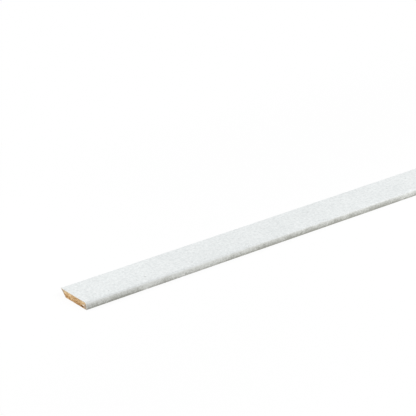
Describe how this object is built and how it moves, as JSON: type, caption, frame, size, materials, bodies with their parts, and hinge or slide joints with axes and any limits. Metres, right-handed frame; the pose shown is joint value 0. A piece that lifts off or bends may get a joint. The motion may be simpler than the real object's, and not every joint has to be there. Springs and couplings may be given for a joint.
{
  "type": "skirting board",
  "caption": "Long flat white coated skirting board with a rounded top edge, an undercut floor edge with a thin lip, a flat raw back and square sawn ends.",
  "frame": {"origin": "middle of the flat back's bounding box, at floor level, with the board lying on its back", "axes": "+X along the length, +Y across the width towards the undercut floor edge, +Z out of the white face"},
  "size_m": [2.4, 0.058, 0.01],
  "materials": {
    "white_coating": "white coated board, satin, with bare particle board on the sawn ends and the back"
  },
  "bodies": {
    "root": {"skirting_board": "white_coating"}
  },
  "joints": []
}
